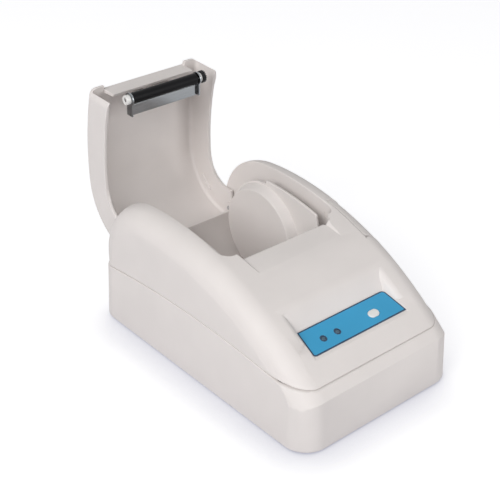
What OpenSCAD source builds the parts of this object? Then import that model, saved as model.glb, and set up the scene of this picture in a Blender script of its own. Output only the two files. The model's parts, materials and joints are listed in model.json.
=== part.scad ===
// Desktop receipt printer for 58 mm paper, with the paper lid open as it stands.
// Front is -Y, right is +X, and z = 0 is the surface that the feet stand on.

/* [Body] */
// Length of the base at its foot, front to back
body_l = 222; // [214:1:240]
// Width of the base at its foot
body_w = 138; // [132:1:160]
// Wall thickness of the mouldings
wall = 2.4; // [2:0.1:3]
// Plan radius of the base's corners
corner_r = 17.7; // [14:0.1:22]
// How far the sides lean in between the foot and the upper housing
lean_in = 2.2; // [1:0.1:3]
// Height of the crest of the arched housing
arch_top = 99.6; // [96:0.2:110]
// Radius of the long arch over the front and top
arch_r = 225; // [210:1:260]
// Place of the crest along the body
arch_y = 47; // [42:1:52]
// Radius of the rounding at the back
rear_r = 48; // [44:1:50]
// Radius of the rounded shoulders
shoulder_r = 17; // [12:0.5:18]
// Height of the seam between base and housing at mid length
seam_mid = 49; // [46:0.5:52]
// How much the seam drops towards the ends
seam_drop = 8; // [5:0.5:9]
// Gap that shows as the seam line
seam_gap = 0.5; // [0.3:0.1:0.8]
// Thickness of the base floor
floor_t = 3; // [2.6:0.1:4]

/* [Lid] */
// Half width of the lid well between the cheeks
well_half = 49; // [48.5:0.1:52]
// Gap between the lid's skirts and the cheeks
lid_gap = 0.8; // [0.6:0.1:1.2]
// Gap between the lid's front corners and the well
lid_front_gap = 2.5; // [2:0.1:3.5]
// Front edge of the lid well
well_front = -12; // [-14:0.5:-10]
// Depth of the lid's skirts below its crest
skirt_d = 24.5; // [22:0.5:26]
// Depth of the lid's front wall
nose_d = 13; // [10:0.5:16]
// Rounding of the lid's long edges
lid_edge_r = 5; // [3:0.5:7]
// Height at which the closed lid ends at the back
lid_tail_z = 44; // [43.5:0.5:47]
// How far the hinge axis lies in from the back of the housing
hinge_in = 9.3; // [8.5:0.1:10.5]
// Height of the hinge axis
hinge_z = 49; // [48:0.5:51]
// Angle that the lid stands open
lid_open = 88; // [60:1:90]
// Diameter of the hinge pins
hinge_d = 4; // [3:0.2:5]

/* [Printing] */
// Length of the rubber on the platen roller
platen_l = 56; // [50:0.5:57]
// Diameter of the platen roller
platen_d = 8; // [7:0.2:9]
// Diameter of the platen's shaft
shaft_d = 3; // [2.4:0.2:4]
// Place of the platen's axis along the closed printer
platen_y = -5.7; // [-6.2:0.1:-5.2]
// Height of the platen's axis in the closed printer
platen_z = 68; // [67.4:0.1:68.6]
// Outer diameter of the platen's white bushes
bush_d = 7; // [6:0.2:7.6]
// Module of the gear teeth
tooth_m = 0.5; // [0.45:0.01:0.52]
// Teeth on the platen's gear
platen_teeth = 16; // [15:1:18]
// Teeth on the reduction gear's small ring
small_teeth = 14; // [12:1:16]
// Teeth on the reduction gear's large ring
large_teeth = 40; // [38:1:42]
// Teeth on the motor's pinion
pinion_teeth = 12; // [10:1:12]
// Thickness of the sheet steel
sheet_t = 1.2; // [1:0.1:1.4]
// Diameter of the motor's can
motor_d = 16.6; // [14:0.2:17]
// Length of the motor's can
motor_l = 15.5; // [12:0.5:18]

/* [Paper bay] */
// Half width of the paper bin outside
bin_half = 39.4; // [39:0.1:41]
// Radius of the paper trough
trough_r = 42; // [38:0.5:43]
// Place of the roll's axis along the body
roll_y = 46; // [45:0.5:47]
// Height of the roll's axis
roll_z = 57; // [56:0.5:59]
// Space between the two roll discs
roll_gap = 60; // [58.5:0.5:62]
// Radius of the right roll disc
disc_r = 33.4; // [30:0.2:34]
// Radius of the left roll disc
left_disc_r = 24; // [20:0.5:26]

/* [Control panel] */
// How far the label's front edge lies in from the front of the housing
label_in = 20.3; // [19:0.1:22]
// Length of the label up its slope
label_l = 20.6; // [18:0.2:22]
// Slope of the label
label_a = 19; // [16:0.5:21]
// How far the label's front edge lies below the arch
label_sink = 0.9; // [0.6:0.1:1.6]
// Half width of the label's recess at the surface
recess_half = 41.5; // [39:0.5:43]
// Lean of the recess's side walls
recess_side_a = 29; // [20:1:32]
// Length of the feed button
button_l = 8.6; // [7:0.2:10]
// Width of the feed button
button_w = 5.8; // [5:0.2:7]
// Travel of the feed button
button_travel = 0.5; // [0.3:0.1:0.6]
// Diameter of the indicator light pipes
pipe_d = 3; // [2:0.2:4]

/* [Feet and fasteners] */
// Diameter of the rubber feet
foot_d = 12.6; // [10:0.2:16]
// How far the feet stand below the base
foot_h = 1.2; // [0.8:0.1:1.5]
// Thread diameter of the housing screws
screw_d = 3; // [2.5:0.1:3.5]
// Head diameter of the housing screws
head_d = 5.6; // [5:0.1:6.5]
// Thickness of the circuit boards
board_t = 1.6; // [1:0.1:2]

/* [Hidden] */

$fn = 64;
far = 400;
fine = 360;
eps = 0.01;
fit = 0.03;
hair = 0.05;
shell_white = "#dedad6";
steel = "#b8babd";
black = "#26272a";
green = "#1f5a3a";

// Main shell
top_half = body_w / 2 - lean_in;
top_end = body_l / 2 - lean_in;
arch_z = arch_top - arch_r;
rear_y = top_end - rear_r;
turn = asin((rear_y - arch_y) / (arch_r - rear_r));
rear_z = arch_z + (arch_r - rear_r) * cos(turn);
front_sweep = 58;
arch_depth = 140;
seam_r = (pow(body_l / 2, 2) + pow(seam_drop, 2)) / (2 * seam_drop);
seam_z = seam_mid - seam_r;
side_slope = lean_in / (seam_mid - foot_h);
plan_r = corner_r - lean_in;
floor_z = foot_h + floor_t;
base_rise = 50;

// Lid and its well
hinge_y = top_end - hinge_in;
lid_half = well_half - lid_gap;
lid_front = well_front + lid_front_gap;
well_corner_r = 8;
well_low = 41.8;
lug_t = 3;
lid_tail_a = acos((lid_tail_z - rear_z) / rear_r);
lug_r = 5.5;
back_wall_z = hinge_z - 9.6;
nose_y = lid_front + 3;
chute_half = 36;
nose_half = chute_half - 1;
boss_x = 11;
boss_w = 8;
boss_rise = 8;
rib_t = 1.2;
rib_a = [37, 58];
rib_in = 9;

// Print mechanism
bin_t = 2;
trough_out = trough_r + bin_t;
tab_back = platen_y + 12.6;
boss_z = platen_z + boss_rise;
ear_in = platen_l / 2 + 0.8;
ear_out = ear_in + sheet_t;
plate_in = ear_out + 0.4;
plate_t = 1.4;
plate_out = plate_in + plate_t;
gear_w = 3;
gear_x = plate_out + 0.5;
large_x = gear_x + gear_w + 0.4;
large_w = 2.8;
gear_room = large_x + large_w + 2.4;
reach = [platen_y - hinge_y, platen_z - hinge_z];
closing = [-reach[1], reach[0]] / norm(reach);
mesh_small = tooth_m * (platen_teeth + small_teeth) / 2;
mesh_large = tooth_m * (large_teeth + pinion_teeth) / 2;
drive_a = 252;
small_a = atan2(-closing[1], -closing[0]);
wheel = [platen_y, platen_z] + mesh_small * closing;
motor = wheel + mesh_large * [cos(drive_a), sin(drive_a)];
head_y = platen_y - platen_d / 2 - 0.3;
head_t = 1;
sink_t = 3;
sink_half = platen_l / 2;
rod_d = 2.4;
rod_y = head_y - head_t - sink_t / 2;
rod_z = platen_z - 8;
frame_z = 30;
frame_front = motor[0] - motor_d / 2 - 1.5;
guide_z = platen_z - 9.1;
guide_end = roll_y - trough_out - 1;
flange_l = 12;
frame_screw_x = plate_out + 6;
frame_screw_y = head_y - 4;
cross_y = head_y - 11.4;

// Paper bin
bin_top = [13, 4];
disc_rs = [left_disc_r, disc_r];
disc_y = roll_y + 2;
disc_z = roll_z - 2;
disc_flare = 3;
bin_rim = 4.4;
bin_front = lid_front + 3;
tab_z = 36.6;
tab_x = bin_half + 5.5;
tab_ys = [roll_y - 21, roll_y + 24];

// Control panel
label_y = -top_end + label_in;
label_z = arch_at(label_y) - label_sink;
label_t = 0.5;
panel_back = [label_y + label_l * cos(label_a), label_z + label_l * sin(label_a)];
panel_top_y = panel_back[0] + 8.6;
panel_top = [panel_top_y, arch_at(panel_top_y)];
panel_rise = (panel_top - panel_back) / norm(panel_top - panel_back);
floor_n = [-sin(label_a), cos(label_a)];
rise_n = [-panel_rise[1], panel_rise[0]];
chord_a = atan2(panel_top[1] - arch_at(label_y), panel_top[0] - label_y);
button_x = 18.3;
button_v = 8.3;
pipe_xs = [-25.7, -13.7];
pipe_v = 8.7;
panel_boss_x = 30;
panel_boss_v = 10;
panel_board_v = -8;
chute_y = -31;
chute_drop = 2.7;
chute_end_y = well_front - 2.7;
chute_end = [chute_end_y, arch_at(chute_end_y) - chute_drop];
chute_a = atan2(chute_end[1] - arch_at(chute_y), chute_end[0] - chute_y);
lip_z = chute_end[1] - 5.3;
slot_half = chute_half + 5;

// Release lever on the right cheek
lever_x0 = well_half + wall + 0.8;
lever_x1 = top_half - 3.6;
lever_y0 = -38;
lever_y1 = 0;
lever_gap = 0.5;
lever_t = 3;
lever_pin_d = 4;
lever_pin_y = lever_y1 - 3;
lever_pin_z = arch_at(lever_pin_y) - 8;

// Board, ports and fasteners
main_z = floor_z + 3;
main_half = 44;
main_y0 = 20;
main_y1 = top_end - 5;
main_screw_ys = [main_y0 + 8, main_y1 - 15.8];
main_screw_x = 38;
port_back = top_end + 0.9;
post_back_y = top_end - 23.8;
post_front_y = -top_end + 20.8;
post_back_x = 58;
post_front_x = 52;
join_z = 40;
head_seat_z = 30;
feet_x = body_w / 2 - 15;
feet_y = body_l / 2 - 17;
foot_pocket = 1.6;
foot_room = 0.7;
switch_x = 24 - body_w / 2;
switch_z = 24;
switch_y = body_l / 2 - side_slope * (switch_z - 7.5 - foot_h) + fit;

function arch_at(y) = arch_z + sqrt(arch_r * arch_r - pow(y - arch_y, 2));
function panel_line(v, off) = [label_y, label_z] + v * [cos(label_a), sin(label_a)] - off * floor_n;
function panel_corner(off) = panel_back - off * (floor_n + rise_n) / (1 + floor_n * rise_n);

// Revolves a profile about the X axis through (y, z), from angle a0 to a1 (180 is up, 90 is back).
module revolve_x(y, z, a0, a1) {
    translate([0, y, z])
        rotate([0, 90, 0])
            rotate([0, 0, a0])
                rotate_extrude(angle = a1 - a0, $fn = fine)
                    children();
}

// Extrudes a (y, z) outline along X.
module along_x(x0, x1) {
    translate([x0, 0, 0])
        rotate([90, 0, 90])
            linear_extrude(height = x1 - x0)
                children();
}

module rod_x(x0, x1, y, z, d) {
    translate([x0, y, z])
        rotate([0, 90, 0])
            cylinder(h = x1 - x0, d = d);
}

module box(x0, x1, y0, y1, z0, z1) {
    translate([x0, y0, z0])
        cube([x1 - x0, y1 - y0, z1 - z0]);
}

module round_plan(half, y0, y1, r) {
    translate([-half + r, y0])
        square([2 * (half - r), y1 - y0]);
    translate([-half, y0 + r])
        square([2 * half, y1 - y0 - 2 * r]);
    for (x = [-half + r, half - r], y = [y0 + r, y1 - r])
        translate([x, y])
            circle(r = r);
}

// Ring section from radius r0 to r1 with its two outer edges rounded.
module ring_section(r0, r1, half, r) {
    translate([r0, -half])
        square([r1 - r - r0, 2 * half]);
    translate([r1 - r - eps, -half + r])
        square([r + eps, 2 * (half - r)]);
    for (h = [-half + r, half - r])
        translate([r1 - r, h])
            circle(r = r);
}

// The arched form shared by housing and lid, shrunk by off. The back length is a hair smaller, so that it laps
// inside the front length and the block below it.
module arch_form(half, off, r) {
    revolve_x(arch_y, arch_z, 180 - turn, 180 + front_sweep)
        ring_section(arch_r - arch_depth, arch_r - off, half, r);
    revolve_x(rear_y, rear_z, 88, 180 - turn + 2)
        ring_section(0, rear_r - off - hair, half - hair, r);
    translate([0, 0, -20])
        linear_extrude(height = rear_z + 20.5)
            round_plan(half, 0, rear_y + rear_r - off, r);
}

// Everything deeper than d below the long arch, up to where the back rounding starts.
module arch_core(d) {
    along_x(-80, 80)
        intersection() {
            translate([arch_y, arch_z])
                circle(r = arch_r - d, $fn = fine);
            polygon([
                [arch_y, arch_z],
                [arch_y, arch_z] + 1.5 * arch_r * [sin(turn), cos(turn)],
                [-far, arch_z + 1.5 * arch_r * cos(turn)],
                [-far, arch_z]
            ]);
        }
}

module upper_form(off) {
    intersection() {
        arch_form(top_half - off, off, shoulder_r - off);
        linear_extrude(height = far)
            round_plan(top_half - off, -top_end + off, top_end - off, plan_r - off);
    }
}

// Limits the base under the front of the arch and leaves its sides and back alone.
module front_form(off) {
    r = shoulder_r + lean_in + 0.1 - off;
    revolve_x(arch_y, arch_z, 180 - turn, 180 + front_sweep)
        ring_section(arch_r - arch_depth, arch_r - off, body_w / 2 + 0.1 - off, r);
    box(-far, far, 0, far, -20, 2 * seam_mid);
}

module base_form(off, z0) {
    w = body_w / 2 - off;
    l = body_l / 2 - off;
    r = corner_r - off;
    d = side_slope * base_rise;
    translate([0, 0, foot_h])
        intersection() {
            union() {
                rotate([90, 0, 0])
                    linear_extrude(height = 2 * (l - r), center = true)
                        polygon([[-w, 0], [w, 0], [w - d, base_rise], [-w + d, base_rise]]);
                rotate([90, 0, 90])
                    linear_extrude(height = 2 * (w - r), center = true)
                        polygon([[-l, 0], [l, 0], [l - d, base_rise], [-l + d, base_rise]]);
                for (x = [-w + r, w - r], y = [-l + r, l - r])
                    translate([x, y, 0])
                        cylinder(h = base_rise, r1 = r, r2 = r - d);
            }
            translate([-far / 2, -far / 2, z0])
                cube([far, far, far]);
        }
}

module seam_drum(r) {
    translate([-far / 2, 0, seam_z])
        rotate([0, 90, 0])
            cylinder(h = far, r = r, $fn = fine);
}

module posts(x, y, z0, z1, d) {
    for (s = [-1, 1])
        translate([s * x, y, z0])
            cylinder(h = z1 - z0, d = d);
}

module base_tray() {
    color(shell_white)
        difference() {
            union() {
                difference() {
                    intersection() {
                        base_form(0, 0);
                        seam_drum(seam_r - seam_gap / 2);
                        front_form(0);
                    }
                    intersection() {
                        base_form(wall, floor_t);
                        front_form(wall);
                    }
                }
                posts(post_front_x, post_front_y, foot_h, join_z - seam_gap, 9);
                posts(post_back_x, post_back_y, foot_h, join_z - seam_gap, 9);
                for (y = tab_ys)
                    posts(tab_x, y, floor_z - eps, tab_z, 8);
                posts(frame_screw_x, frame_screw_y, floor_z - eps, frame_z, 8);
                for (y = main_screw_ys)
                    posts(main_screw_x, y, floor_z - eps, main_z, 6);
            }
            for (y = [post_front_y, post_back_y]) {
                x = y < 0 ? post_front_x : post_back_x;
                posts(x, y, 0, head_seat_z, head_d + 0.8);
                posts(x, y, 0, far, screw_d + 0.4);
            }
            for (y = tab_ys)
                posts(tab_x, y, tab_z - 9, far, 2.5 + 2 * fit);
            posts(frame_screw_x, frame_screw_y, frame_z - 9, far, 2.5 + 2 * fit);
            for (y = main_screw_ys)
                posts(main_screw_x, y, main_z - 2.6, far, 2 + 2 * fit);
            for (y = [-feet_y, feet_y])
                posts(feet_x, y, 0, foot_h + foot_pocket, foot_d + 2 * foot_room);
            box(-well_half, well_half, hinge_y, far, back_wall_z, far);
            port_cuts();
        }
}

module port_cuts() {
    box(8 - 0.3, 20 + 0.3, top_end - 6, far, main_z + board_t - 0.3, main_z + board_t + 11.3);
    box(-12 - 0.3, 2 + 0.3, top_end - 6, far, main_z + board_t - 0.3, main_z + board_t + 12.3);
    box(28 - 0.3, 37 + 0.3, top_end - 6, far, main_z + board_t - 0.3, main_z + board_t + 11.3);
    box(switch_x - 9.5, switch_x + 9.5, top_end - 6, far, switch_z - 6.5, switch_z + 6.5);
}

module well_plan(off) {
    r = well_corner_r + off;
    h = well_half + off;
    translate([-h + r, well_front - off])
        square([2 * (h - r), far]);
    translate([-h, well_front - off + r])
        square([2 * h, far]);
    for (x = [-h + r, h - r])
        translate([x, well_front - off + r])
            circle(r = r);
}

// Wedge that limits the panel recess at its leaning side walls.
module recess_sides(off) {
    lean = tan(recess_side_a);
    translate([0, label_y, arch_at(label_y)])
        rotate([chord_a, 0, 0])
            rotate([90, 0, 0])
                linear_extrude(height = 160, center = true)
                    polygon([
                        [-recess_half - off + 26 * lean, -26],
                        [recess_half + off - 26 * lean, -26],
                        [recess_half + off + 20 * lean, 20],
                        [-recess_half - off - 20 * lean, 20]
                    ]);
}

module recess_form(off) {
    intersection() {
        along_x(-60, 60)
            polygon([
                panel_line(-14, off),
                panel_corner(off),
                panel_top - off * rise_n,
                panel_top - off * rise_n + 30 * panel_rise,
                [label_y - 14, panel_top[1] + 30]
            ]);
        recess_sides(off);
    }
}

module at_label() {
    translate([0, label_y, label_z])
        rotate([label_a, 0, 0])
            children();
}

module pill(l, w, z0, z1) {
    translate([0, 0, z0])
        linear_extrude(height = z1 - z0) {
            square([l - w, w], center = true);
            for (s = [-1, 1])
                translate([s * (l - w) / 2, 0])
                    circle(d = w);
        }
}

module chute_floor() {
    polygon([
        [chute_y - 4, arch_at(chute_y - 4) - wall],
        [chute_y, arch_at(chute_y) - wall],
        [chute_end[0], chute_end[1] - wall],
        [chute_end[0], far],
        [chute_y - 4, far]
    ]);
}

// The chute's sides lean out at 45 degrees from its sloping floor.
module chute_cut() {
    intersection() {
        along_x(-chute_half - 10, chute_half + 10)
            polygon([
                [chute_y, arch_at(chute_y)],
                [chute_end[0], chute_end[1]],
                [chute_end[0] + 6, chute_end[1]],
                [chute_end[0] + 6, far],
                [chute_y, far]
            ]);
        translate([0, chute_y, arch_at(chute_y)])
            rotate([chute_a, 0, 0])
                rotate([90, 0, 0])
                    linear_extrude(height = 100, center = true)
                        polygon([
                            [-chute_half + 1, -1],
                            [chute_half - 1, -1],
                            [chute_half + 12, 12],
                            [-chute_half - 12, 12]
                        ]);
    }
}

module upper_housing() {
    color(shell_white)
        difference() {
            union() {
                difference() {
                    upper_form(0);
                    upper_form(wall);
                }
                intersection() {
                    upper_form(0);
                    union() {
                        translate([0, 0, well_low])
                            linear_extrude(height = far)
                                difference() {
                                    well_plan(wall);
                                    well_plan(0);
                                }
                        difference() {
                            recess_form(wall);
                            box(-far, far, -far, -top_end + 4, -far, far);
                        }
                        along_x(-chute_half - 5, chute_half + 5)
                            chute_floor();
                        box(-slot_half - 2, slot_half + 2, chute_end[0] - 2, chute_end[0], lip_z, chute_end[1]);
                        posts(post_front_x, post_front_y, join_z, far, 9);
                        posts(post_back_x, post_back_y, join_z, far, 9);
                    }
                }
                intersection() {
                    upper_form(wall / 2);
                    at_label()
                        posts(panel_boss_x, panel_boss_v, panel_board_v, -wall + eps, 5);
                }
            }
            seam_drum_cut();
            recess_form(0);
            chute_cut();
            well_opening();
            posts(post_front_x, post_front_y, 0, 52, screw_d + 2 * fit);
            posts(post_back_x, post_back_y, 0, 52, screw_d + 2 * fit);
            rod_x(-well_half - wall - 1, -well_half + 1, hinge_y, hinge_z, hinge_d + 2 * fit);
            rod_x(well_half - 1, well_half + wall + 1, hinge_y, hinge_z, hinge_d + 2 * fit);
            rod_x(well_half - 1, well_half + wall + 1, lever_pin_y, lever_pin_z, lever_pin_d + 0.1);
            box(lever_x0 - lever_gap, lever_x1 + lever_gap, lever_y0 - 1, lever_y1 + lever_gap, 60, far);
            at_label() {
                posts(panel_boss_x, panel_boss_v, panel_board_v - 1, panel_board_v + 4.5, 2 + 2 * fit);
                translate([button_x, button_v, 0])
                    pill(button_l + 0.3, button_w + 0.3, -4, 4);
                for (x = pipe_xs)
                    translate([x, pipe_v, -4])
                        cylinder(h = 8, d = pipe_d + 0.3);
            }
        }
}

// The seam leaves the well's inner walls and the posts whole.
module seam_drum_cut() {
    difference() {
        seam_drum(seam_r + seam_gap / 2);
        translate([0, 0, well_low])
            linear_extrude(height = far)
                round_plan(well_half + wall, well_front - wall, top_end - wall - 1, 4);
        posts(post_front_x, post_front_y, join_z, far, 9);
        posts(post_back_x, post_back_y, join_z, far, 9);
    }
}

module well_opening() {
    linear_extrude(height = far)
        well_plan(0);
    box(-chute_half, chute_half, chute_end[0], 0, 0, far);
    box(-gear_room, gear_room, well_front - wall - 1, 0, 0, lip_z - 6);
    box(-slot_half, slot_half, well_front - wall - 1, 0, 0, lip_z - 2);
    box(chute_half - 1, slot_half, chute_end[0] - 1, 0, 0, far);
}

module at_disc(s) {
    translate([s * (bin_half - bin_t), disc_y, disc_z])
        rotate([0, -90 * s, 0])
            children();
}

module paper_bin() {
    disc_h = bin_half - bin_t - roll_gap / 2;
    color(shell_white)
        difference() {
            union() {
                for (i = [0, 1])
                    along_x(i == 1 ? bin_half - bin_t : -bin_half, i == 1 ? bin_half : -bin_half + bin_t)
                        bin_side(bin_top[i], disc_rs[i]);
                along_x(-bin_half, bin_half)
                    difference() {
                        translate([roll_y, roll_z])
                            circle(r = trough_out, $fn = 180);
                        translate([roll_y, roll_z])
                            circle(r = trough_r, $fn = 180);
                        translate([-far / 2, roll_z - 2.6])
                            square([far, far]);
                    }
                for (i = [0, 1])
                    at_disc(2 * i - 1)
                        translate([0, 0, -eps])
                            cylinder(h = disc_h + eps, r1 = disc_rs[i] + disc_flare, r2 = disc_rs[i], $fn = 120);
                for (s = [-1, 1], y = tab_ys)
                    box(s > 0 ? bin_half - eps : -tab_x - 5, s > 0 ? tab_x + 5 : -bin_half + eps, y - 5, y + 5,
                        tab_z, tab_z + 2.4);
            }
            for (i = [0, 1])
                at_disc(2 * i - 1)
                    translate([0, 0, -bin_t - 1])
                        cylinder(h = disc_h + 1, r = disc_rs[i] - 3, $fn = 120);
            for (y = tab_ys)
                posts(tab_x, y, 0, far, 2.9);
        }
}

// Side wall of the bin: round at the back about the disc, and below the lid's arch in front of it.
module bin_side(top, disc) {
    translate([disc_y, disc_z])
        circle(r = disc + bin_rim, $fn = 180);
    difference() {
        translate([roll_y, roll_z])
            circle(r = trough_out, $fn = 180);
        translate([-far / 2, roll_z - 2.6])
            square([far, far]);
    }
    difference() {
        intersection() {
            translate([arch_y, arch_z])
                circle(r = arch_r - top, $fn = fine);
            polygon([
                [disc_y, roll_z - 3],
                [roll_y - trough_out, roll_z - 3],
                [roll_y - trough_out, platen_z + 6],
                [bin_front, platen_z + 10],
                [bin_front, platen_z + 14],
                [bin_front + 5, arch_top],
                [disc_y, arch_top]
            ]);
        }
        translate(wheel)
            circle(r = tooth_m * (large_teeth / 2 + 1) + 1);
    }
}

module on_lid() {
    translate([0, hinge_y, hinge_z])
        rotate([-lid_open, 0, 0])
            translate([0, -hinge_y, -hinge_z])
                children();
}

module lid_form(off) {
    arch_form(lid_half - off, off, lid_edge_r - off);
}

module lid_plan() {
    r = well_corner_r - lid_gap;
    translate([-lid_half + r, lid_front])
        square([2 * (lid_half - r), far]);
    translate([-lid_half, lid_front + r])
        square([2 * lid_half, far]);
    for (x = [-lid_half + r, lid_half - r])
        translate([x, lid_front + r])
            circle(r = r);
}

// Section of the lid. The back length is a hair smaller so that it laps inside the front length.
module lid_channel(r, d) {
    difference() {
        ring_section(r - skirt_d - d, r - d, lid_half - d, lid_edge_r);
        ring_section(r - skirt_d - 1, r - wall - d, lid_half - wall - d, lid_edge_r - wall);
    }
}

module lid() {
    color(shell_white)
        on_lid()
            difference() {
                union() {
                    intersection() {
                        linear_extrude(height = far)
                            lid_plan();
                        revolve_x(arch_y, arch_z, 180 - turn, 180 + front_sweep)
                            lid_channel(arch_r, 0);
                    }
                    revolve_x(rear_y, rear_z, 180 - lid_tail_a, 180 - turn + 2)
                        lid_channel(rear_r, hair);
                    difference() {
                        intersection() {
                            lid_form(wall / 2);
                            box(-nose_half, nose_half, nose_y, nose_y + wall, 0, far);
                        }
                        arch_core(nose_d);
                    }
                    intersection() {
                        lid_form(wall / 2);
                        for (s = [-1, 1])
                            box(s * boss_x - boss_w / 2, s * boss_x + boss_w / 2, tab_back - sheet_t - boss_w,
                                tab_back - sheet_t, boss_z - boss_w / 2, far);
                    }
                    for (s = [-1, 1]) {
                        rod_x(s > 0 ? lid_half - lug_t : -lid_half, s > 0 ? lid_half : -lid_half + lug_t,
                            hinge_y, hinge_z, 2 * lug_r);
                        lid_rib(s);
                    }
                }
                box(-nose_half, nose_half, -far, nose_y, 0, far);
                rod_x(-far / 2, far / 2, hinge_y, hinge_z, hinge_d + 0.1);
                boss_screws_at()
                    cylinder(h = 9, d = 2.5 + 2 * fit);
            }
}

// Short rib inside each skirt, along the back rounding.
module lid_rib(s) {
    inner = lid_half - wall;
    intersection() {
        box(s > 0 ? inner - rib_t : -inner - eps, s > 0 ? inner + eps : -inner + rib_t, rear_y, far, rear_z, far);
        revolve_x(rear_y, rear_z, 180 - rib_a[1], 180 - rib_a[0])
            translate([rear_r - rib_in - 1.8, -lid_half])
                square([1.8, 2 * lid_half]);
    }
}

// Places the bracket's screws, which go in from behind.
module boss_screws_at() {
    for (s = [-1, 1])
        translate([s * boss_x, tab_back, boss_z])
            rotate([90, 0, 0])
                children();
}

module hinge_pins() {
    color(steel)
        for (s = [-1, 1])
            scale([s, 1, 1]) {
                rod_x(lid_half - lug_t - 0.4, well_half + wall + 1, hinge_y, hinge_z, hinge_d);
                rod_x(well_half + wall, well_half + wall + 1.6, hinge_y, hinge_z, hinge_d + 3);
            }
}

module ear_outline() {
    translate([platen_y, platen_z])
        circle(r = bush_d / 2 + 1.2);
    translate([platen_y, platen_z - 3])
        square([tab_back - platen_y, 6]);
}

module platen_bracket() {
    color(steel)
        on_lid()
            difference() {
                union() {
                    for (s = [-1, 1]) {
                        along_x(s > 0 ? ear_in : -ear_out, s > 0 ? ear_out : -ear_in)
                            ear_outline();
                        box(s * boss_x - boss_w / 2, s * boss_x + boss_w / 2, tab_back - sheet_t, tab_back,
                            platen_z, boss_z + boss_w / 2);
                    }
                    box(-ear_out, ear_out, platen_y + platen_d / 2 + 0.7, tab_back, platen_z - sheet_t / 2,
                        platen_z + sheet_t / 2);
                }
                rod_x(-far / 2, far / 2, platen_y, platen_z, bush_d - 2 + 2 * fit);
                boss_screws_at()
                    translate([0, 0, -1])
                        cylinder(h = 4, d = 2.9);
            }
}

module screw(d, hd, hh, l) {
    translate([0, 0, -hh])
        difference() {
            union() {
                cylinder(h = hh, d = hd);
                translate([0, 0, hh - eps])
                    cylinder(h = l + eps, d = d);
            }
            translate([0, 0, -eps]) {
                translate([-hd * 0.32, -0.35, 0])
                    cube([hd * 0.64, 0.7, hh * 0.6]);
                translate([-0.35, -hd * 0.32, 0])
                    cube([0.7, hd * 0.64, hh * 0.6]);
            }
        }
}

module bracket_screws() {
    color(steel)
        on_lid()
            boss_screws_at()
                screw(2.5, 4.6, 1.6, 8);
}

module platen_roller() {
    color("#1d1e20")
        on_lid()
            difference() {
                rod_x(-platen_l / 2, platen_l / 2, platen_y, platen_z, platen_d);
                rod_x(-far / 2, far / 2, platen_y, platen_z, shaft_d + 2 * fit);
            }
}

module platen_shaft() {
    color(steel)
        on_lid()
            rod_x(-plate_out - 1.2, gear_x + gear_w + 0.2, platen_y, platen_z, shaft_d);
}

module platen_bushes() {
    color("#f2f2ef")
        on_lid()
            difference() {
                union() {
                    rod_x(-plate_out - 1.6, -ear_out, platen_y, platen_z, bush_d);
                    rod_x(-ear_out - eps, -ear_in, platen_y, platen_z, bush_d - 2);
                    rod_x(ear_out, plate_out + 0.2, platen_y, platen_z, bush_d);
                    rod_x(ear_in, ear_out + eps, platen_y, platen_z, bush_d - 2);
                }
                rod_x(-far / 2, far / 2, platen_y, platen_z, shaft_d + 0.1);
            }
}

// Straight-flanked gear outline with a tooth centred on the given angle.
module gear_outline(n, phase) {
    rp = n * tooth_m / 2;
    ro = rp + 0.95 * tooth_m;
    ri = rp - 1.2 * tooth_m;
    half = tooth_m * PI / 4 - 0.06;
    at = (half - 0.95 * tooth_m * tan(20)) / ro * 180 / PI;
    ar = (half + 1.2 * tooth_m * tan(20)) / ri * 180 / PI;
    polygon([
        for (i = [0 : n - 1], p = [[ri, -ar], [ro, -at], [ro, at], [ri, ar]])
            p[0] * [cos(phase + i * 360 / n + p[1]), sin(phase + i * 360 / n + p[1])]
    ]);
}

module platen_gear() {
    color(black)
        on_lid()
            difference() {
                along_x(gear_x, gear_x + gear_w)
                    translate([platen_y, platen_z])
                        gear_outline(platen_teeth, small_a + 180 + 180 / platen_teeth);
                rod_x(-far / 2, far / 2, platen_y, platen_z, shaft_d + 2 * fit);
            }
}

module reduction_gear() {
    color("#e9e7e0")
        difference() {
            union() {
                along_x(gear_x, large_x + eps)
                    translate(wheel)
                        gear_outline(small_teeth, small_a);
                along_x(large_x, large_x + large_w)
                    translate(wheel)
                        gear_outline(large_teeth, drive_a);
            }
            rod_x(-far / 2, far / 2, wheel[0], wheel[1], 3.1);
        }
}

module reduction_pin() {
    color(steel) {
        rod_x(plate_in, large_x + large_w + 0.6, wheel[0], wheel[1], 3);
        rod_x(large_x + large_w + 0.4, large_x + large_w + 1.4, wheel[0], wheel[1], 5);
    }
}

module motor_pinion() {
    color("#c8a24a") {
        along_x(large_x, large_x + large_w)
            translate(motor)
                gear_outline(pinion_teeth, drive_a + 180 + 180 / pinion_teeth);
        rod_x(plate_in - 6, large_x + eps, motor[0], motor[1], 2);
    }
}

module stepper_motor() {
    color(steel)
        difference() {
            union() {
                rod_x(plate_in - motor_l, plate_in, motor[0], motor[1], motor_d);
                box(plate_in - motor_l + 2, plate_in - 4, motor[0] - 4, motor[0] + 4,
                    motor[1] - motor_d / 2 - 2, motor[1]);
            }
            rod_x(plate_in - 6.4, far, motor[0], motor[1], 2.1);
        }
}

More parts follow.
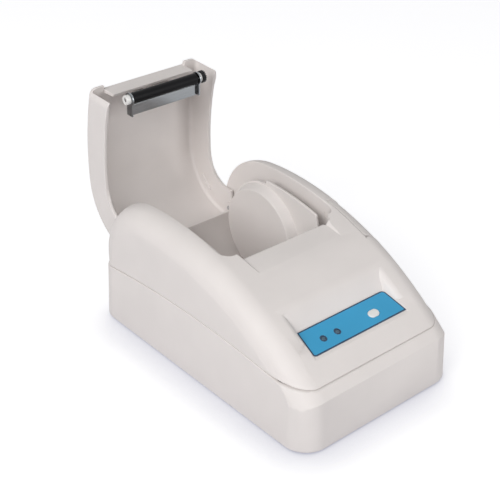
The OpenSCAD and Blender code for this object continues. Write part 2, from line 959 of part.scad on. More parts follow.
module plate_outline() {
    difference() {
        polygon([
            [frame_front, frame_z],
            [guide_end, frame_z],
            [guide_end, platen_z + 3],
            [guide_end - 2, platen_z + 7],
            [platen_y, platen_z + 9],
            [cross_y, platen_z + 12],
            [cross_y, platen_z - 7],
            [frame_front, motor[1] + motor_d / 2 + 1]
        ]);
        translate([platen_y, platen_z])
            circle(d = bush_d + 0.6);
        polygon([
            [platen_y, platen_z] + (bush_d / 2 + 0.1) * [closing[1], -closing[0]],
            [platen_y, platen_z] - (bush_d / 2 + 0.1) * [closing[1], -closing[0]],
            [platen_y, platen_z] - (bush_d / 2 + 1.5) * [closing[1], -closing[0]] - 18 * closing,
            [platen_y, platen_z] + (bush_d / 2 + 1.5) * [closing[1], -closing[0]] - 18 * closing
        ]);
    }
}

module mechanism_frame() {
    color("#9fa2a6")
        difference() {
            union() {
                for (s = [-1, 1]) {
                    along_x(s > 0 ? plate_in : -plate_out, s > 0 ? plate_out : -plate_in)
                        plate_outline();
                    box(s > 0 ? plate_in : -plate_out - flange_l, s > 0 ? plate_out + flange_l : -plate_in,
                        frame_screw_y - 6, frame_screw_y + 6, frame_z, frame_z + plate_t);
                }
                box(-plate_out, plate_out, frame_front, guide_end, frame_z, frame_z + plate_t);
                box(-plate_out, plate_out, cross_y, cross_y + plate_t, platen_z - 6, platen_z + 10);
                box(-plate_out, plate_out, rod_y + 6.4, guide_end, guide_z - plate_t, guide_z);
            }
            posts(frame_screw_x, frame_screw_y, 0, far, 2.9);
            rod_x(-far / 2, far / 2, rod_y, rod_z, rod_d + 2 * fit);
            rod_x(0, far / 2, wheel[0], wheel[1], 3 + 2 * fit);
            rod_x(0, far / 2, motor[0], motor[1], 5);
            box(-3, 3, guide_end - 6, guide_end - 1, guide_z - 4, far);
        }
}

module print_head() {
    color("#e7e3da")
        box(-sink_half + 1.5, sink_half - 1.5, head_y - head_t, head_y, platen_z - 7, platen_z + 8);
}

module heat_sink() {
    color("#8f9296")
        difference() {
            box(-sink_half, sink_half, head_y - head_t - sink_t, head_y - head_t, rod_z - 2.2, platen_z + 10);
            rod_x(-far / 2, far / 2, rod_y, rod_z, rod_d + 0.1);
        }
}

module head_rod() {
    color(steel)
        rod_x(-plate_out - 0.6, plate_out + 0.3, rod_y, rod_z, rod_d);
}

module head_spring() {
    y0 = cross_y + plate_t;
    y1 = head_y - head_t - sink_t - 0.3;
    color(steel)
        along_x(-10, 10)
            polygon([
                [y0, platen_z - 5],
                [y0 + 0.5, platen_z - 5],
                [y0 + 0.5, platen_z - 1],
                [y1, platen_z + 5],
                [y1 - 1.5, platen_z + 9],
                [y1 - 2, platen_z + 8.8],
                [y1 - 0.6, platen_z + 5],
                [y0, platen_z - 0.4]
            ]);
}

module paper_sensor() {
    color(black) {
        box(-2.7, 2.7, guide_end - 5.7, guide_end - 1.3, guide_z - 2.4, guide_z - 0.2);
        box(-5, 5, guide_end - 7, guide_end - 0.4, guide_z - plate_t - 2.2, guide_z - plate_t);
    }
}

module release_lever() {
    color(shell_white)
        difference() {
            union() {
                intersection() {
                    difference() {
                        arch_form(top_half - 0.5, 0.3, shoulder_r);
                        arch_form(top_half - 0.5 - lever_t, 0.3 + lever_t, shoulder_r - lever_t);
                    }
                    box(lever_x0, lever_x1, lever_y0, lever_y1, 60, far);
                }
                box(lever_x0, lever_x0 + 4, lever_pin_y - 3, lever_pin_y + 3, lever_pin_z,
                    arch_at(lever_pin_y) - lever_t / 2);
                rod_x(lever_x0, lever_x0 + 4, lever_pin_y, lever_pin_z, 6);
                rod_x(well_half + 0.2, lever_x0 + eps, lever_pin_y, lever_pin_z, lever_pin_d);
            }
        }
}

module panel_label() {
    color("#3e94be")
        difference() {
            intersection() {
                recess_sides(-0.4);
                at_label()
                    box(-60, 60, 0, label_l - 0.3, 0, label_t);
            }
            at_label() {
                translate([button_x, button_v, 0])
                    pill(button_l + 0.3, button_w + 0.3, -4, 4);
                for (x = pipe_xs)
                    translate([x, pipe_v, -4])
                        cylinder(h = 8, d = pipe_d + 0.3);
            }
        }
}

module feed_button() {
    color("#e4e1dc")
        at_label()
            translate([button_x, button_v, 0]) {
                pill(button_l, button_w, -wall - 0.6, 1.3);
                pill(button_l + 2.6, button_w + 2.6, -wall - 1.6, -wall - 0.3);
            }
}

module light_pipes() {
    color("#dfe9ea")
        at_label()
            for (x = pipe_xs)
                translate([x, pipe_v, 0]) {
                    translate([0, 0, panel_board_v + 1 + fit])
                        cylinder(h = label_t + 0.1 - panel_board_v - 1 - fit, d = pipe_d);
                    translate([0, 0, -wall - 1.3])
                        cylinder(h = 1.2, d = pipe_d + 0.6);
                }
}

module panel_board() {
    color(green)
        at_label()
            difference() {
                union() {
                    box(-34, 34, 3, 17, panel_board_v - board_t, panel_board_v);
                    for (x = pipe_xs)
                        box(x - 1.5, x + 1.5, pipe_v - 1.5, pipe_v + 1.5, panel_board_v - eps, panel_board_v + 1);
                }
                posts(panel_boss_x, panel_boss_v, -20, 0, 2.4);
            }
}

module tact_switch() {
    low = -wall - 1.6 - button_travel - 0.1;
    color(black)
        at_label()
            translate([button_x, button_v, 0]) {
                box(-3, 3, -3, 3, panel_board_v, low - 0.8);
                translate([0, 0, low - 0.8 - eps])
                    cylinder(h = 0.8 + eps, d = 3.4);
            }
}

module panel_screws() {
    color(steel)
        at_label()
            for (s = [-1, 1])
                translate([s * panel_boss_x, panel_boss_v, panel_board_v - board_t])
                    screw(2, 3.6, 1.3, 5.6);
}

module main_board() {
    color(green)
        difference() {
            union() {
                box(-main_half, main_half, main_y0, main_y1, main_z, main_z + board_t);
                box(-8, 4, port_back - 48, port_back - 36, main_z + board_t - eps, main_z + board_t + 1.4);
                box(14, 30, port_back - 26, port_back - 20, main_z + board_t - eps, main_z + board_t + 3);
            }
            for (y = main_screw_ys)
                posts(main_screw_x, y, 0, far, 2.4);
            for (y = tab_ys)
                posts(tab_x, y, 0, far, 9.2);
        }
}

module board_screws() {
    color(steel)
        for (s = [-1, 1], y = main_screw_ys)
            translate([s * main_screw_x, y, main_z + board_t])
                rotate([180, 0, 0])
                    screw(2, 3.6, 1.3, 4);
}

module dc_jack() {
    z = main_z + board_t;
    color(black)
        difference() {
            box(28, 37, port_back - 14, port_back, z, z + 11);
            translate([32.5, port_back + 1, z + 6.2])
                rotate([90, 0, 0])
                    difference() {
                        cylinder(h = 10, d = 6.4);
                        cylinder(h = 10, d = 2);
                    }
        }
}

module usb_port() {
    z = main_z + board_t;
    color(steel)
        difference() {
            box(8, 20, port_back - 16, port_back, z, z + 11);
            box(9.7, 18.3, port_back - 9, far, z + 1.6, z + 9.4);
        }
    color("#f0f0ee")
        box(11.2, 16.8, port_back - 9.01, port_back - 1, z + 3.9, z + 7.1);
}

module drawer_port() {
    z = main_z + board_t;
    color("#2e2f33")
        difference() {
            box(-12, 2, port_back - 16, port_back, z, z + 12);
            box(-10, 0, port_back - 13, far, z + 3, z + 10);
            box(-7, -3, port_back - 13, far, z + 1.4, z + 4);
        }
}

module switch_body() {
    color(black)
        difference() {
            union() {
                box(switch_x - 9.4, switch_x + 9.4, switch_y - 14, switch_y, switch_z - 6.4, switch_z + 6.4);
                box(switch_x - 10.5, switch_x + 10.5, switch_y - eps / 2, switch_y + 1.6,
                    switch_z - 7.5, switch_z + 7.5);
            }
            box(switch_x - 7.4, switch_x + 7.4, switch_y - 10, far, switch_z - 4.6, switch_z + 4.6);
            rod_z(switch_x, switch_y - 2.6, switch_z - 5.6, switch_z + 5.6, 2.1);
        }
}

module rod_z(x, y, z0, z1, d) {
    translate([x, y, z0])
        cylinder(h = z1 - z0, d = d);
}

module power_rocker() {
    y = switch_y - 2.6;
    color("#1b1c1f") {
        translate([switch_x, y, switch_z - 4.3])
            linear_extrude(height = 8.6)
                polygon([[-6, 0], [-5, -3], [5, -3], [6, 0], [5.6, 2.6], [0, 3.7], [-5.6, 5.6]]);
        rod_z(switch_x, y, switch_z - 5.4, switch_z + 5.4, 2);
    }
}

module rubber_feet() {
    color("#303134")
        for (y = [-feet_y, feet_y])
            posts(feet_x, y, 0, foot_h + foot_pocket, foot_d);
}

module housing_screws() {
    color(steel)
        for (s = [-1, 1]) {
            translate([s * post_front_x, post_front_y, head_seat_z])
                screw(screw_d, head_d, 2.2, 16);
            translate([s * post_back_x, post_back_y, head_seat_z])
                screw(screw_d, head_d, 2.2, 16);
        }
}

module frame_screws() {
    color(steel)
        for (s = [-1, 1]) {
            translate([s * frame_screw_x, frame_screw_y, frame_z + plate_t])
                rotate([180, 0, 0])
                    screw(2.5, 4.6, 1.6, 8);
            for (y = tab_ys)
                translate([s * tab_x, y, tab_z + 2.4])
                    rotate([180, 0, 0])
                        screw(2.5, 4.6, 1.6, 8);
        }
}

base_tray();
upper_housing();
paper_bin();
lid();
hinge_pins();
platen_bracket();
bracket_screws();
platen_roller();
platen_shaft();
platen_bushes();
platen_gear();
mechanism_frame();
print_head();
heat_sink();
head_rod();
head_spring();
stepper_motor();
motor_pinion();
reduction_gear();
reduction_pin();
paper_sensor();
release_lever();
panel_label();
feed_button();
light_pipes();
panel_board();
tact_switch();
main_board();
dc_jack();
usb_port();
drawer_port();
switch_body();
power_rocker();
rubber_feet();
housing_screws();
frame_screws();
board_screws();
panel_screws();
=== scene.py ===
import json
import math

import bpy
from mathutils import Matrix, Vector


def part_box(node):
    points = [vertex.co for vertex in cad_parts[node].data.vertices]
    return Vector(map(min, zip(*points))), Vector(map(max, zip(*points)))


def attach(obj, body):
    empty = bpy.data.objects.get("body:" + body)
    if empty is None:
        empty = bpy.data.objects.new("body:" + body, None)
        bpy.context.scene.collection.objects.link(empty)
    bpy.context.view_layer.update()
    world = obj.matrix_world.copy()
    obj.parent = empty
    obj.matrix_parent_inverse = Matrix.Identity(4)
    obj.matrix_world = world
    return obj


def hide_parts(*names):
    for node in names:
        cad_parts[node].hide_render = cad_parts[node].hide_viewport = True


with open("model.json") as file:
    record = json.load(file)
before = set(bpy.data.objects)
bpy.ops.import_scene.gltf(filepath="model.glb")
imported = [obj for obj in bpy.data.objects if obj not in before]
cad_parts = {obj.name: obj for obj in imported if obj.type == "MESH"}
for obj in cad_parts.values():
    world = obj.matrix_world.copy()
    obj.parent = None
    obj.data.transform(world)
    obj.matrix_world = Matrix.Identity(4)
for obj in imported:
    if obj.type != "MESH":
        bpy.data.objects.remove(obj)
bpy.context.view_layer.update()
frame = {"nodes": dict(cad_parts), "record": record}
nodes = frame["nodes"]
record = frame["record"]
bodyOf = {node: body for body, names in record["behaviour"]["bodies"].items() for node in names}
slotOf = {part["node"]: part["material_slot"] for part in record["subparts"]}
jointOf = {joint["name"]: joint for joint in record["behaviour"]["joints"]}
mm = 0.001


# a screen colour, 0 to 255, in the linear values that a shader takes (the usual sRGB curve)
def linear(red, green, blue):
    channel = lambda v: (v / 255 / 12.92) if v <= 10 else ((v / 255 + 0.055) / 1.055) ** 2.4
    return (channel(red), channel(green), channel(blue), 1.0)


def shade(color, factor):
    return (color[0] * factor, color[1] * factor, color[2] * factor, 1.0)


# finishes: every one is made of noise on object coordinates
noiseSpan = (0.3, 0.7)  # nearly all of a noise's values lie between these


def newMaterial(name):
    material = bpy.data.materials.new(name)
    material.use_nodes = True
    tree = material.node_tree
    shader = tree.nodes["Principled BSDF"]
    return material, tree, shader


def addNoise(tree, scale, detail, stretch=None):
    noise = tree.nodes.new("ShaderNodeTexNoise")
    noise.inputs["Scale"].default_value = scale
    noise.inputs["Detail"].default_value = detail
    source = tree.nodes.new("ShaderNodeTexCoord").outputs["Object"]
    if stretch:
        mapping = tree.nodes.new("ShaderNodeMapping")
        mapping.inputs["Scale"].default_value = stretch
        tree.links.new(source, mapping.inputs["Vector"])
        source = mapping.outputs["Vector"]
    tree.links.new(source, noise.inputs["Vector"])
    return noise.outputs["Fac"]


def linkRoughness(tree, shader, source, low, high):
    spread = tree.nodes.new("ShaderNodeMapRange")
    spread.inputs["From Min"].default_value = noiseSpan[0]
    spread.inputs["From Max"].default_value = noiseSpan[1]
    spread.inputs["To Min"].default_value = low
    spread.inputs["To Max"].default_value = high
    tree.links.new(source, spread.inputs["Value"])
    tree.links.new(spread.outputs["Result"], shader.inputs["Roughness"])


def linkTint(tree, shader, source, dark, light):
    ramp = tree.nodes.new("ShaderNodeValToRGB")
    for i, color in enumerate((dark, light)):
        ramp.color_ramp.elements[i].position = noiseSpan[i]
        ramp.color_ramp.elements[i].color = color
    tree.links.new(source, ramp.inputs["Fac"])
    tree.links.new(ramp.outputs["Color"], shader.inputs["Base Color"])


def linkBump(tree, shader, source, strength, distance):
    bump = tree.nodes.new("ShaderNodeBump")
    bump.inputs["Strength"].default_value = strength
    bump.inputs["Distance"].default_value = distance
    tree.links.new(source, bump.inputs["Height"])
    tree.links.new(bump.outputs["Normal"], shader.inputs["Normal"])


# spark-eroded mould texture with faint clouding and handling marks
moulding = {"cloudScale": 28, "cloudDetail": 4, "cloudLift": 0.4, "smearScale": 90, "smearDetail": 5,
            "smear": 0.05, "sparkDetail": 2, "sparkBump": 0.35}


def mouldedPlastic(name, color, rough, grain=1500, depth=0.00004, clouding=0.03, gloss=0.5):
    material, tree, shader = newMaterial(name)
    shader.inputs["Specular IOR Level"].default_value = gloss
    clouds = addNoise(tree, moulding["cloudScale"], moulding["cloudDetail"])
    light = shade(color, 1 + clouding * moulding["cloudLift"])
    linkTint(tree, shader, clouds, shade(color, 1 - clouding), light)
    smears = addNoise(tree, moulding["smearScale"], moulding["smearDetail"])
    linkRoughness(tree, shader, smears, rough - moulding["smear"], rough + moulding["smear"])
    sparks = addNoise(tree, grain, moulding["sparkDetail"])
    linkBump(tree, shader, sparks, moulding["sparkBump"], depth)
    return material


# drawn or rolled metal, with the grain along X
rolling = {"scale": 12, "detail": 4, "stretch": (6, 260, 260), "dark": 0.86, "polish": 0.07, "scuff": 0.09,
           "bump": 0.25, "depth": 0.00001}


def brightMetal(name, color, rough):
    material, tree, shader = newMaterial(name)
    shader.inputs["Metallic"].default_value = 1.0
    lines = addNoise(tree, rolling["scale"], rolling["detail"], rolling["stretch"])
    linkTint(tree, shader, lines, shade(color, rolling["dark"]), color)
    linkRoughness(tree, shader, lines, rough - rolling["polish"], rough + rolling["scuff"])
    linkBump(tree, shader, lines, rolling["bump"], rolling["depth"])
    return material


finishes = {
    "shell": mouldedPlastic("warmWhiteShell", linear(227, 221, 218), 0.5, gloss=0.32),
    "steel": brightMetal("platedSteel", (0.62, 0.63, 0.65, 1), 0.24),
    "rubber": mouldedPlastic("blackRubber", (0.006, 0.006, 0.007, 1), 0.42, 2600, 0.00003, 0.2, 0.1),
    "black_plastic": mouldedPlastic("blackMoulding", (0.014, 0.014, 0.016, 1), 0.42, 1500, 0.00003, 0.15, 0.3),
    "white_plastic": mouldedPlastic("naturalAcetal", (0.80, 0.79, 0.77, 1), 0.34, 1900, 0.00002),
    "label": mouldedPlastic("blueFilm", linear(64, 159, 204), 0.38, 2400, 0.00001, 0.06, 0.26),
    "board": mouldedPlastic("solderMask", (0.012, 0.10, 0.045, 1), 0.35, 900, 0.00002, 0.2),
    "ceramic": mouldedPlastic("glazedStrip", (0.62, 0.60, 0.54, 1), 0.2, 700, 0.00001),
    "aluminium": brightMetal("millAluminium", (0.55, 0.56, 0.58, 1), 0.34),
    "brass": brightMetal("turnedBrass", (0.62, 0.43, 0.15, 1), 0.26),
    "pipe": mouldedPlastic("smokedLens", (0.05, 0.11, 0.16, 1), 0.16, 1200, 0.00001, 0.1),
}
navyBorder = mouldedPlastic("navyBorder", linear(28, 62, 92), 0.36, 2400, 0.00001, 0.08)
# darker copy of the plated steel for the bracket: painted shade that keeps its plate dark
burnishedSteel = brightMetal("burnishedSteel", (0.30, 0.315, 0.33, 1), 0.15)
for name, node in nodes.items():
    node.data.materials.clear()
    node.data.materials.append(finishes[slotOf[name]])
print("finishes", len([*finishes, navyBorder, burnishedSteel]))


# limits for the shaping below: merge and weld in mm, flat in degrees, sliver as a share of merge,
# square as the cosine of a face's lean off the axes
bench = {"merge": 0.02, "sliver": 0.8, "flat": 0.6, "weld": 0.5, "square": 0.99}


def onlyThis(obj):
    bpy.ops.object.select_all(action="DESELECT")
    obj.select_set(True)
    bpy.context.view_layer.objects.active = obj


def leaveEdit():
    bpy.ops.object.mode_set(mode="OBJECT")


# edit mode with all of a piece selected
def editAll(piece):
    onlyThis(piece)
    bpy.ops.object.mode_set(mode="EDIT")
    bpy.ops.mesh.select_all(action="SELECT")


# object mode with nothing of a piece selected, ready to pick its VERT, EDGE or FACE
def clearPicked(piece, kind):
    onlyThis(piece)
    bpy.ops.object.mode_set(mode="EDIT")
    bpy.ops.mesh.select_mode(type=kind)
    bpy.ops.mesh.select_all(action="DESELECT")
    leaveEdit()


# edit mode with the faces selected that pass a test
def pickFaces(piece, test):
    clearPicked(piece, "FACE")
    for face in piece.data.polygons:
        face.select = test(face)
    bpy.ops.object.mode_set(mode="EDIT")


def facePairs(mesh):
    sides = {}
    for face in mesh.polygons:
        for key in face.edge_keys:
            sides.setdefault(key, []).append(face)
    return sides


# edit mode with the edges selected whose middle and two face normals pass a test; outward corners only
def pickEdges(piece, test):
    clearPicked(piece, "EDGE")
    mesh = piece.data
    sides = facePairs(mesh)
    picked = 0
    for edge in mesh.edges:
        pair = sides.get(edge.key, [])
        if len(pair) != 2 or (pair[1].center - pair[0].center).dot(pair[0].normal) > 0:
            continue
        middle = (mesh.vertices[edge.vertices[0]].co + mesh.vertices[edge.vertices[1]].co) / 2
        if test(middle / mm, pair[0].normal, pair[1].normal):
            edge.select = True
            picked += 1
    bpy.ops.object.mode_set(mode="EDIT")
    return picked


# the CAD node's loose triangles as one skin of flat faces
def mergedCopy(nodeName, pieceName, merge=bench["merge"]):
    piece = bpy.data.objects.new(pieceName, nodes[nodeName].data.copy())
    bpy.context.scene.collection.objects.link(piece)
    editAll(piece)
    bpy.ops.mesh.remove_doubles(threshold=merge * mm)
    bpy.ops.mesh.dissolve_degenerate(threshold=merge * bench["sliver"] * mm)
    bpy.ops.mesh.dissolve_limited(angle_limit=math.radians(bench["flat"]))
    leaveEdit()
    return piece


# a zone is a box in mm, given by its lowest and highest corner
def inside(point, zones):
    return any(all(low[i] <= point[i] <= high[i] for i in range(3)) for low, high in zones)


# a zone on the right, after its mirror image on the left
def bothSides(low, high):
    return ((-high[0], low[1], low[2]), (-low[0], high[1], high[2])), (low, high)


# joins the vertices that lie close together inside some zones, so that a bevel can pass them
def weldZones(piece, zones):
    clearPicked(piece, "VERT")
    for vertex in piece.data.vertices:
        vertex.select = inside(vertex.co / mm, zones)
    bpy.ops.object.mode_set(mode="EDIT")
    bpy.ops.mesh.remove_doubles(threshold=bench["weld"] * mm)
    leaveEdit()


# trims a piece square to Y at its front end and closes it
def cutFront(piece, y):
    editAll(piece)
    bpy.ops.mesh.bisect(plane_co=(0, y * mm, 0), plane_no=(0, 1, 0), use_fill=True, clear_inner=True)
    leaveEdit()


# takes off a square corner that stands proud inside a zone and closes the skin over it
def closeOver(piece, zone):
    mesh = piece.data
    pickFaces(piece, lambda face: all(inside(mesh.vertices[i].co / mm, (zone,)) for i in face.vertices)
              and max(abs(value) for value in face.normal) > bench["square"])
    bpy.ops.mesh.delete(type="FACE")
    bpy.ops.mesh.select_all(action="SELECT")
    bpy.ops.mesh.fill_holes(sides=0)
    leaveEdit()


def bevelPicked(piece, width, segments, test):
    if pickEdges(piece, test):
        bpy.ops.mesh.bevel(offset=width * mm, segments=segments, affect="EDGES", clamp_overlap=False)
    leaveEdit()


def breakEdges(piece, width, segments=3, angle=32, sharp=()):
    limit = math.radians(angle)
    bevelPicked(piece, width, segments,
                lambda middle, one, two: one.angle(two) > limit and not inside(middle, sharp))


def smoothPiece(piece, angle=34):
    onlyThis(piece)
    bpy.ops.object.shade_smooth_by_angle(angle=math.radians(angle))
    sides = facePairs(piece.data)
    for edge in piece.data.edges:
        pair = sides.get(edge.key, [])
        if len(pair) != 2 or pair[0].normal.dot(pair[1].normal) < math.cos(math.radians(angle)):
            edge.use_edge_sharp = True
    weights = piece.modifiers.new("weights", "WEIGHTED_NORMAL")
    weights.keep_sharp = True
    bpy.ops.object.modifier_apply(modifier="weights")


def standFor(piece, nodeName):
    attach(piece, bodyOf[nodeName])
    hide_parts(nodeName)


# mouldings and small parts: the CAD form with its edges broken
dressed = {
    "upper_housing": {
        "piece": "upperShell", "edge": 0.7, "merge": 0.12,
        "sharp": (((-80, 94, 0), (80, 120, 58)),  # rear seam and hinge end
                  *bothSides((38, -22, 84), (44, -10, 95)),  # ends of the chute
                  ((-60, -95, 0), (60, -54, 68)),  # panel recess
                  ((60, 55, 80), (70, 70, 95)),  # right shoulder
                  ((47, -7, 82), (55, 1, 89.5)),  # bore of the release strip's pin
                  ((50, -40.5, 68), (68, -38.4, 90)),  # front end of the strip's slot
                  ((50, 0.2, 80), (68, 2, 98))),  # rear end of the strip's slot
        "weld": bothSides((59, -92, 43), (66, -74, 48)),  # seam behind the front corners
        # rims of the panel recess, then their front ends
        "round": ({"zones": bothSides((40, -80, 50), (43, -60, 75)), "radius": 3.4, "slant": 1.0},
                  {"zones": bothSides((40, -85, 50), (43, -81, 75)), "radius": 1.6, "slant": 1.0}),
    },
    "base_tray": {
        "piece": "baseShell", "edge": 0.7, "merge": 0.12,
        "sharp": bothSides((44, -112, 32), (60, -105, 40)),  # top edge by the front corners
        "weld": bothSides((53, -105, 41), (62, -98, 43)),  # seam at the front corners
    },
    "lid": {
        "piece": "lidShell", "edge": 0.6, "merge": 0.12,
        "sharp": (((-60, 90, 30), (60, 108, 56)),),  # hinge end
        # long edge of the free end
        "round": ({"zones": (((-60, 112, 154), (60, 117, 159)),), "radius": 5.0, "slant": 0.1},),
    },
    "paper_bin": {"piece": "paperBay", "edge": 0.5, "merge": 0.05},
    "release_lever": {
        "piece": "releaseStrip", "edge": 0.25, "merge": 0.05, "frontCut": -36.8,
        "proud": ((53.2, -6.1, 91.3), (56.3, -1.5, 92.6)),  # corner of the pivot block
    },
    "platen_bushes": {"piece": "whiteBushes", "edge": 0.4},
    "platen_gear": {"piece": "platenWheel", "edge": 0.12},
    "reduction_gear": {"piece": "reductionWheel", "edge": 0.12},
    "platen_shaft": {"piece": "steelShaft", "edge": 0.25},
    "hinge_pins": {"piece": "hingePins", "edge": 0.3},
    "mechanism_frame": {"piece": "mechanismFrame", "edge": 0.2},
    "bracket_screws": {"piece": "bracketScrews", "edge": 0.15},
    "frame_screws": {"piece": "frameScrews", "edge": 0.15},
    "housing_screws": {"piece": "housingScrews", "edge": 0.2},
    "dc_jack": {"piece": "powerInlet", "edge": 0.25},
    "usb_port": {"piece": "dataPort", "edge": 0.2},
    "drawer_port": {"piece": "drawerSocket", "edge": 0.25},
    "switch_body": {"piece": "switchBezel", "edge": 0.35},
    "power_rocker": {"piece": "powerRocker", "edge": 0.35},
    "rubber_feet": {"piece": "rubberFeet", "edge": 0.5},
}
rounding = {"segments": 6, "angle": 0.9}
for nodeName, settings in dressed.items():
    piece = mergedCopy(nodeName, settings["piece"], settings.get("merge", bench["merge"]))
    for rim in settings.get("round", ()):
        for zone in rim["zones"]:
            bevelPicked(piece, rim["radius"], rounding["segments"], lambda middle, one, two:
                        inside(middle, (zone,)) and one.angle(two) > rounding["angle"]
                        and max(abs(one.x), abs(two.x)) < rim["slant"])
    if "proud" in settings:
        closeOver(piece, settings["proud"])
    if "frontCut" in settings:
        cutFront(piece, settings["frontCut"])
    if "weld" in settings:
        weldZones(piece, settings["weld"])
    breakEdges(piece, settings["edge"], sharp=settings.get("sharp", ()))
    smoothPiece(piece)
    standFor(piece, nodeName)
    print("dressed", settings["piece"], len(piece.data.polygons))

# folded bracket: sharp-edged sheet in a darker copy of the steel, its colour painted shade for the plate's
# dark face
bracket = {"piece": "platenHolder", "edge": 0.18, "segments": 2}
holder = mergedCopy("platen_bracket", bracket["piece"])
breakEdges(holder, bracket["edge"], bracket["segments"])
smoothPiece(holder)
holder.data.materials.clear()
holder.data.materials.append(burnishedSteel)
standFor(holder, "platen_bracket")
print("bracket", len(holder.data.polygons))


# moves a piece built along its own Z to a place, with Z turned to the given axis
def settle(piece, place, axis):
    turn = Vector((0, 0, 1)).rotation_difference(Vector(axis)).to_matrix().to_4x4()
    piece.data.transform(Matrix.Translation(place) @ turn)
    piece.location = (0, 0, 0)
    piece.rotation_euler = (0, 0, 0)


# ground rubber roller: a cylinder with chamfered ends and a shallow relief at each end face
roller = {"piece": "groundRoller", "sides": 96, "chamfer": 0.45, "chamferSteps": 3, "relief": 0.5,
          "reliefRing": 1.1, "endNormal": 0.99}
low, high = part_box("platen_roller")
rollerLength = high[0] - low[0]
rollerRadius = (high[2] - low[2]) / 2
rollerCenter = [(low[i] + high[i]) / 2 for i in range(3)]
bpy.ops.object.select_all(action="DESELECT")
bpy.ops.mesh.primitive_cylinder_add(vertices=roller["sides"], radius=rollerRadius, depth=rollerLength)
rubber = bpy.context.active_object
rubber.name = roller["piece"]
pickFaces(rubber, lambda face: abs(face.normal.z) > roller["endNormal"])
bpy.ops.mesh.bevel(offset=roller["chamfer"] * mm, segments=roller["chamferSteps"], affect="EDGES")
leaveEdit()
pickFaces(rubber, lambda face: abs(face.normal.z) > roller["endNormal"])
bpy.ops.mesh.inset(thickness=roller["reliefRing"] * mm, depth=-roller["relief"] * mm)
leaveEdit()
settle(rubber, rollerCenter, (1, 0, 0))
rubber.data.materials.append(finishes["rubber"])
smoothPiece(rubber)
standFor(rubber, "platen_roller")
print("roller", round(rollerLength / mm, 1), "mm long")

# label film: rounded at two corners, with a darker printed border that also rings the lights
film = {"piece": "panelFilm", "border": 0.9, "rearRight": 2.6, "frontLeft": 2.2, "keyRing": 9,
        "cornerSteps": 6, "cornerAngle": 0.6, "cornerBeyond": 30, "sideNormal": 0.8, "topNormal": 0.98}
pressAxis = Vector(jointOf["feed_press"]["axis"])
labelNormal = -pressAxis.normalized()
label = mergedCopy("panel_label", film["piece"])
low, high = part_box("panel_label")
middleY = (low[1] + high[1]) / 2 / mm


def roundCorner(radius, near):
    bevelPicked(label, radius, film["cornerSteps"], lambda middle, one, two:
                one.angle(two) > film["cornerAngle"] and near(middle)
                and max(abs(one.dot(labelNormal)), abs(two.dot(labelNormal))) < film["sideNormal"])


roundCorner(film["rearRight"], lambda p: p.x > film["cornerBeyond"] and p.y > middleY)
roundCorner(film["frontLeft"], lambda p: p.x < -film["cornerBeyond"] and p.y < middleY)
pickFaces(label, lambda face: face.normal.dot(labelNormal) > film["topNormal"])
bpy.ops.mesh.inset(thickness=film["border"] * mm, use_boundary=True)
leaveEdit()
label.data.materials.clear()
label.data.materials.append(navyBorder)
label.data.materials.append(finishes["label"])
keyLow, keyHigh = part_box("feed_button")
keyCenter = (Vector(keyLow) + Vector(keyHigh)) / 2
for face in label.data.polygons:
    byKey = (face.center - keyCenter).length < film["keyRing"] * mm
    face.material_index = 1 if face.select or byKey else 0
editAll(label)
bpy.ops.mesh.quads_convert_to_tris(quad_method="BEAUTY", ngon_method="BEAUTY")
leaveEdit()
standFor(label, "panel_label")
print("label", len(label.data.polygons))

# feed button and light lenses: the CAD form with a domed top
domes = {
    "feed_button": {"piece": "feedKey", "rim": 0.75, "segments": 5},
    "light_pipes": {"piece": "lampLenses", "rim": 0.5, "segments": 4},
}
crown = {"depth": 0.05, "angle": 0.6, "smooth": 40}
for nodeName, settings in domes.items():
    piece = mergedCopy(nodeName, settings["piece"])
    crownTop = max(vertex.co.dot(labelNormal) for vertex in piece.data.vertices)
    crownFloor = crownTop - crown["depth"] * mm
    bevelPicked(piece, settings["rim"], settings["segments"], lambda middle, one, two:
                middle.dot(labelNormal) * mm > crownFloor and one.angle(two) > crown["angle"])
    smoothPiece(piece, crown["smooth"])
    standFor(piece, nodeName)
    print("domed", settings["piece"], len(piece.data.polygons))

# studio: pale floor, soft panels and the camera; lengths in metres, the lens and sensor in mm
studio = {
    "floorSize": 8.0,
    "floorRough": 0.9,
    "floorGloss": 0.1,
    "floorColor": (0.58, 0.58, 0.61, 1),
    "floorSeen": (0.56, 0.56, 0.50, 1),
    "glowColor": (0.94, 0.94, 1.0, 1),
    "floorGlow": 0.74,
    "contactReach": 0.036,
    "contactLean": (0.55, 0.55, 0.63),
    "contactDepth": (0.62, 0.62, 0.54),
    "room": 0.2,
    "lampAim": (0, 0, 0.06),
    "cameraPlace": (-0.4409, -0.4996, 0.4720),
    "right": (0.7631, -0.6463, 0.0),
    "up": (0.3312, 0.3911, 0.8588),
    "back": (-0.5550, -0.6553, 0.5125),
    "lens": 82.73,
    "sensor": 36.0,
    "clipStart": 0.01,
}
white = (1, 1, 1, 1)


# 1 for the rays that show the background: straight, mirrored or through something clear
def seenRays(tree):
    rays = tree.nodes.new("ShaderNodeLightPath")
    value = rays.outputs["Is Camera Ray"]
    for kind in ("Is Glossy Ray", "Is Transmission Ray"):
        either = tree.nodes.new("ShaderNodeMath")
        either.operation = "MAXIMUM"
        tree.links.new(value, either.inputs[0])
        tree.links.new(rays.outputs[kind], either.inputs[1])
        value = either.outputs["Value"]
    return value


def addMix(tree, factor, first, second, blend="MIX"):
    mix = tree.nodes.new("ShaderNodeMix")
    mix.data_type = "RGBA"
    mix.blend_type = blend
    for socket, value in (("Factor", factor), ("A", first), ("B", second)):
        if isinstance(value, bpy.types.NodeSocket):
            tree.links.new(value, mix.inputs[socket])
        else:
            mix.inputs[socket].default_value = value
    return mix.outputs["Result"]


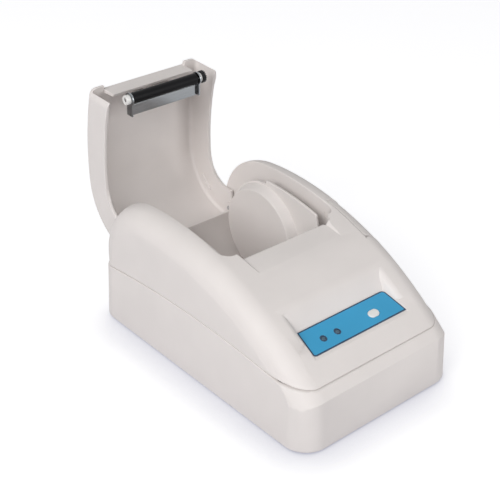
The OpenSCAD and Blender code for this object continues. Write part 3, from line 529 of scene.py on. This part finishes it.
bpy.ops.object.select_all(action="DESELECT")
bpy.ops.mesh.primitive_plane_add(size=studio["floorSize"])
floor = bpy.context.active_object
floor.name = "studioFloor"
floorMaterial, tree, shader = newMaterial("palePaper")
shader.inputs["Roughness"].default_value = studio["floorRough"]
shader.inputs["Specular IOR Level"].default_value = studio["floorGloss"]
seen = seenRays(tree)
tint = addMix(tree, seen, studio["floorColor"], studio["floorSeen"])
glow = tree.nodes.new("ShaderNodeMath")
glow.operation = "MULTIPLY"
glow.inputs[1].default_value = studio["floorGlow"]
tree.links.new(seen, glow.inputs[0])
# contact shadow: the floor darkens where the object stands close by
lean = tree.nodes.new("ShaderNodeCombineXYZ")
for i in range(3):
    lean.inputs[i].default_value = studio["contactLean"][i]
nearness = tree.nodes.new("ShaderNodeAmbientOcclusion")
nearness.inputs["Distance"].default_value = studio["contactReach"]
tree.links.new(lean.outputs["Vector"], nearness.inputs["Normal"])
contactColor = (*[1 - depth for depth in studio["contactDepth"]], 1)
contact = addMix(tree, nearness.outputs["AO"], contactColor, white)
for source, target in ((tint, "Base Color"), (studio["glowColor"], "Emission Color")):
    tree.links.new(addMix(tree, 1, source, contact, "MULTIPLY"), shader.inputs[target])
tree.links.new(glow.outputs["Value"], shader.inputs["Emission Strength"])
floor.data.materials.append(floorMaterial)

scene = bpy.context.scene
scene.view_settings.view_transform = "Standard"
world = bpy.data.worlds.new("softRoom")
world.use_nodes = True
room = world.node_tree
background = room.nodes["Background"]
background.inputs["Color"].default_value = white
roomLevel = room.nodes.new("ShaderNodeMapRange")
roomLevel.inputs["To Min"].default_value = studio["room"]
roomLevel.inputs["To Max"].default_value = 1
room.links.new(seenRays(room), roomLevel.inputs["Value"])
room.links.new(roomLevel.outputs["Result"], background.inputs["Strength"])
scene.world = world

lamps = {
    "leftPanel": {"place": (-1.9, -0.35, 1.3), "size": 1.2, "power": 22},
    "highPanel": {"place": (-1.35, -0.2, 1.75), "size": 1.2, "power": 9},
    "keyPanel": {"place": (-1.3, -1.3, 1.1), "size": 1.2, "power": 10},
    "fillPanel": {"place": (0.9, -1.9, 0.62), "size": 1.0, "power": 13.5},
}
for name, settings in lamps.items():
    data = bpy.data.lights.new(name, "AREA")
    data.size = settings["size"]
    data.energy = settings["power"]
    lamp = bpy.data.objects.new(name, data)
    scene.collection.objects.link(lamp)
    lamp.location = settings["place"]
    beam = Vector(studio["lampAim"]) - Vector(settings["place"])
    lamp.rotation_euler = beam.to_track_quat("-Z", "Y").to_euler()

cameraData = bpy.data.cameras.new("photoView")
cameraData.lens = studio["lens"]
cameraData.sensor_width = studio["sensor"]
cameraData.clip_start = studio["clipStart"]
camera = bpy.data.objects.new("photoView", cameraData)
scene.collection.objects.link(camera)
axes = Matrix((studio["right"], studio["up"], studio["back"])).transposed().to_4x4()
camera.matrix_world = Matrix.Translation(studio["cameraPlace"]) @ axes
scene.camera = camera
print("studio ready")
